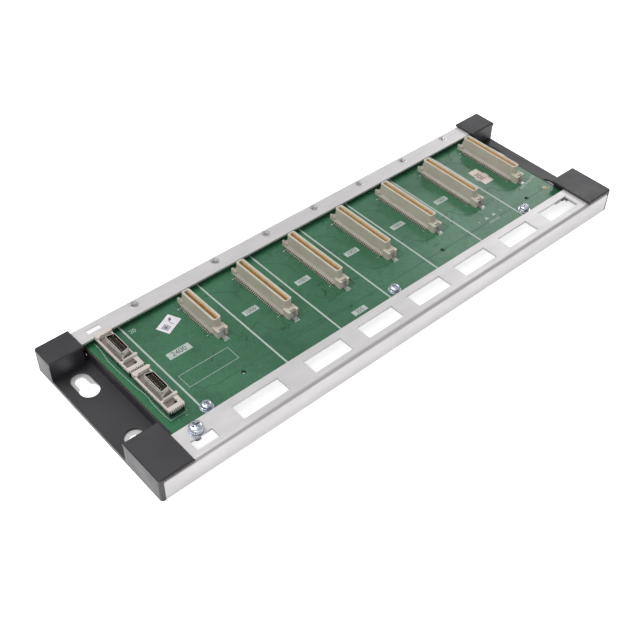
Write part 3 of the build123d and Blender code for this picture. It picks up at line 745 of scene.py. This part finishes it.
def hole_rims():
    """Plated and bare hole edges on both faces of the board."""
    bare, plated = bmesh.new(), bmesh.new()
    for x in (70.7, SLOT_LINES[3] + 13.1, SLOT_LINES[5] + 13.7):
        add_lathe(bare, x, 30.8, [(1.0, 7.38), (1.28, 7.38), (1.28, 9.02), (1.0, 9.02)], 32)
    add_lathe(plated, LENGTH - 22.0, 30.8, [(0.6, 7.36), (1.05, 7.36), (1.05, 7.4), (0.85, 7.4), (0.85, 9.0),
                                            (1.05, 9.0), (1.05, 9.03), (0.6, 9.03)], 32)
    finish_mesh("board_hole_edges", bare, via)
    finish_mesh("plated_hole_rim", plated, gold)


def solder_side():
    """Pins and solder cones of the cable ports under the board."""
    bm = bmesh.new()
    for y in PORTS:
        for row in (-3.2, -1.3, 1.3, 3.2):
            for pin in range(5):
                cone = [(0, 6.35), (0.28, 6.45), (0.34, 6.9), (0.75, 7.37), (0.75, 7.41), (0, 7.41)]
                add_lathe(bm, PORT_X + row, y + (pin - 2) * 2.54 + 0.6 * row, cone, 12)
    piece = finish_mesh("port_solder_joints", bm, tin)
    piece.data.shade_smooth()


def port_marks():
    """Small light marks on two walls of each port and gold tips on its contacts."""
    bm, tips = bmesh.new(), bmesh.new()
    for y in PORTS:
        for start in (y + 4.2, y - 4.5, y - 11.5):
            for step in range(3):
                add_box(bm, 26.97, 27.0, start + 0.75 * step, start + 0.75 * step + 0.4, 11.5, 12.2)
        for step in range(4):
            add_box(bm, PORT_X - 1.6 + 1.1 * step, PORT_X - 0.9 + 1.1 * step, y - 15.03, y - 15.0, 10.6, 11.3)
        for side in (-1, 1):
            for pin in range(10):
                middle = y + (pin - 4.5) * PITCH
                x = PORT_X + SHELL_OFFSET + side * 1.17
                add_box(tips, x - 0.15, x + 0.15, middle - 0.14, middle + 0.14, 17.5, 18.22)
    finish_mesh("port_wall_marks", bm, print_white)
    finish_mesh("port_contact_tips", tips, gold)


def label_art():
    """Plain patches, strokes and frames on the two labels, with no words."""
    bm = bmesh.new()
    z = BOARD_TOP + 0.11
    turn = 24.8
    middle = (62.5, 81.4, 0)

    def patch(x0, x1, y0, y1, rise=0.0, extra=0.0):
        add_box(bm, middle[0] + x0, middle[0] + x1, middle[1] + y0, middle[1] + y1, z, z + 0.012 + rise,
                turn + extra, middle)

    for step in range(5):
        patch(-4.6, -1.2, -2.0 + step * 0.85, -1.75 + step * 0.85)
        patch(-4.5 + step * 0.8, -4.25 + step * 0.8, -2.1, 1.8, 0.004)
    patch(-3.4, -2.4, -0.7, 0.4, 0.008)
    patch(1.2, 3.9, 0.5, 0.8)
    patch(2.2, 3.6, 0.7, 1.7, 0.004)
    patch(3.0, 4.2, 1.3, 2.1, 0.006)
    patch(1.0, 1.3, -2.6, 0.2)
    finish_mesh("check_label_print", bm, ink)
    bm = bmesh.new()
    x0, y0 = SLOT_LINES[5] + 9.1, DEPTH - 43.0
    for step in range(3):
        y = y0 - 3.6 + 2.9 * step
        add_frame(bm, x0 - 2.0, x0 + 0.8, y, y + 2.2, z, z + 0.015, 0.4)
    add_box(bm, x0 + 1.3, x0 + 2.6, y0 - 4.6, y0 - 4.3, z, z + 0.012)
    add_box(bm, x0 + 1.3, x0 + 2.2, y0 - 3.9, y0 - 3.6, z, z + 0.012)
    finish_mesh("lot_label_print", bm, ink)
    bm = bmesh.new()
    add_box(bm, 274.9, 280.4, 66.4, 69.6, BOARD_TOP + 0.1, BOARD_TOP + 0.13)
    add_box(bm, 273.8, 279.6, 55.5, 59.2, BOARD_TOP + 0.1, BOARD_TOP + 0.13)
    finish_mesh("lot_label_lower_layer", bm, pink_pale)


silkscreen()
traces()
hole_rims()
solder_side()
port_marks()
label_art()


# Floor, backdrop and light
def stage():
    mesh = bpy.data.meshes.new("floor")
    bm = bmesh.new()
    bmesh.ops.create_grid(bm, x_segments=1, y_segments=1, size=4.0)
    bm.to_mesh(mesh)
    bm.free()
    floor = bpy.data.objects.new("floor", mesh)
    floor.location.z = -0.00002
    bpy.context.scene.collection.objects.link(floor)
    mat, tree, shader = new_material("floor_white")
    shader.inputs["Base Color"].default_value = (0.92, 0.92, 0.92, 1.0)
    shader.inputs["Roughness"].default_value = 0.9
    shader.inputs["Specular IOR Level"].default_value = 0.1
    path = tree.nodes.new("ShaderNodeLightPath")
    either = tree.nodes.new("ShaderNodeMath")
    either.operation = "MAXIMUM"
    tree.links.new(path.outputs["Is Camera Ray"], either.inputs[0])
    tree.links.new(path.outputs["Is Glossy Ray"], either.inputs[1])
    shader.inputs["Emission Color"].default_value = (1.0, 1.0, 1.0, 1.0)
    tree.links.new(ramp(tree, either.outputs[0], 0.0, 1.0, 0.0, 0.72), shader.inputs["Emission Strength"])
    mesh.materials.append(mat)


def world():
    scene = bpy.context.scene
    scene.world = bpy.data.worlds.new("studio")
    scene.world.use_nodes = True
    tree = scene.world.node_tree
    tree.nodes.clear()
    out = tree.nodes.new("ShaderNodeOutputWorld")
    mix = tree.nodes.new("ShaderNodeMixShader")
    lit = tree.nodes.new("ShaderNodeBackground")
    seen = tree.nodes.new("ShaderNodeBackground")
    path = tree.nodes.new("ShaderNodeLightPath")
    lit.inputs["Color"].default_value = (0.98, 0.985, 1.0, 1.0)
    lit.inputs["Strength"].default_value = 0.55
    seen.inputs["Color"].default_value = (1.0, 1.0, 1.0, 1.0)
    seen.inputs["Strength"].default_value = 1.0
    tree.links.new(path.outputs["Is Camera Ray"], mix.inputs["Fac"])
    tree.links.new(lit.outputs["Background"], mix.inputs[1])
    tree.links.new(seen.outputs["Background"], mix.inputs[2])
    tree.links.new(mix.outputs["Shader"], out.inputs["Surface"])


def area_light(name, location, target, size, power):
    data = bpy.data.lights.new(name, "AREA")
    data.shape = "RECTANGLE"
    data.size, data.size_y = size
    data.energy = power
    lamp = bpy.data.objects.new(name, data)
    lamp.location = location
    lamp.rotation_euler = (Vector(target) - Vector(location)).to_track_quat("-Z", "Y").to_euler()
    bpy.context.scene.collection.objects.link(lamp)


stage()
world()
area_light("key", location=(-0.4, 0.4, 1.3), target=(0, 0, 0), size=(0.8, 0.8), power=13.0)
area_light("fill", location=(-0.9, -0.9, 0.7), target=(0, 0, 0), size=(1.0, 0.8), power=4.0)
area_light("side", location=(1.15, 0.5, 0.8), target=(0.1, 0, 0), size=(0.6, 0.6), power=2.2)

# Camera, solved from the edges of the chassis in the photo
CAMERA_PLACE = (-0.283208, -0.286396, 0.366348)
CAMERA_DEGREES = (45.4405, -0.9725, -41.6247)
FOCAL_LENGTH = 56.10
camera_data = bpy.data.cameras.new("camera")
camera_data.sensor_width = 36.0
camera_data.lens = FOCAL_LENGTH
camera_data.clip_start = 0.01
camera = bpy.data.objects.new("camera", camera_data)
camera.location = CAMERA_PLACE
camera.rotation_euler = tuple(math.radians(angle) for angle in CAMERA_DEGREES)
bpy.context.scene.collection.objects.link(camera)
bpy.context.scene.camera = camera
bpy.context.scene.view_settings.view_transform = "Standard"
